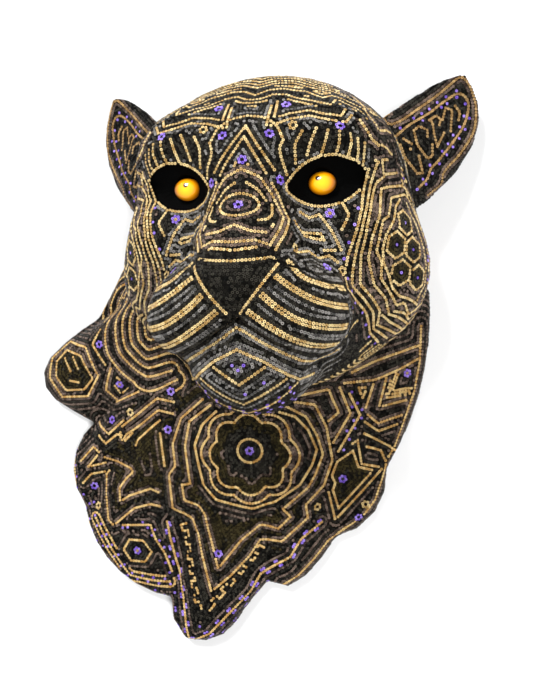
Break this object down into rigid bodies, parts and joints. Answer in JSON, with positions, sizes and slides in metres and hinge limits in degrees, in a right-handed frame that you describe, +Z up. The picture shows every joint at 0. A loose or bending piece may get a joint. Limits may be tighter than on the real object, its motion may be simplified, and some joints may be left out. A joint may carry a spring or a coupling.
{
  "type": "wall mask",
  "caption": "Beaded big cat head for a wall: hollow carved head with doweled ears and domed glass eyes on a scalloped mane collar, hung from a swinging ring on a batten behind.",
  "frame": {"origin": "hanging point on the wall plane, at the middle of the hanger ring's wire when the ring is swung up", "axes": "+Z up, -Y out of the wall towards the viewer, +X to the viewer's right; the rims at the back lie on Y = 0"},
  "size_m": [0.3134, 0.1488, 0.3828],
  "materials": {
    "carved_softwood": "carved, unpainted",
    "seed_beads": "small glass beads set close in wax",
    "pine": "sawn",
    "black_putty": "smooth",
    "amber_paint": "gloss",
    "eye_glass": "polished",
    "zinc_steel": "zinc plated"
  },
  "bodies": {
    "mask": {"head_core": "carved_softwood", "collar_core": "carved_softwood", "left_ear_core": "carved_softwood", "right_ear_core": "carved_softwood", "forehead_beadwork": "seed_beads", "nose_beadwork": "seed_beads", "left_muzzle_beadwork": "seed_beads", "right_muzzle_beadwork": "seed_beads", "chin_beadwork": "seed_beads", "left_cheek_beadwork": "seed_beads", "right_cheek_beadwork": "seed_beads", "collar_left_beadwork": "seed_beads", "collar_tongue_beadwork": "seed_beads", "collar_right_beadwork": "seed_beads", "left_ear_beadwork": "seed_beads", "right_ear_beadwork": "seed_beads", "left_ear_dowel": "pine", "right_ear_dowel": "pine", "hanging_batten": "pine", "left_eye_setting": "black_putty", "right_eye_setting": "black_putty", "left_eye_iris": "amber_paint", "right_eye_iris": "amber_paint", "left_eye_glass": "eye_glass", "right_eye_glass": "eye_glass", "hanger_strap": "zinc_steel", "upper_hanger_screw": "zinc_steel", "lower_hanger_screw": "zinc_steel"},
    "ring": {"hanger_ring": "zinc_steel"}
  },
  "joints": [
    {"name": "ring_swing", "type": "hinge", "parent": "mask", "child": "ring", "pos_m": [0, -0.00465, -0.0168], "axis": [1, 0, 0], "range_deg": [0, 180]}
  ]
}
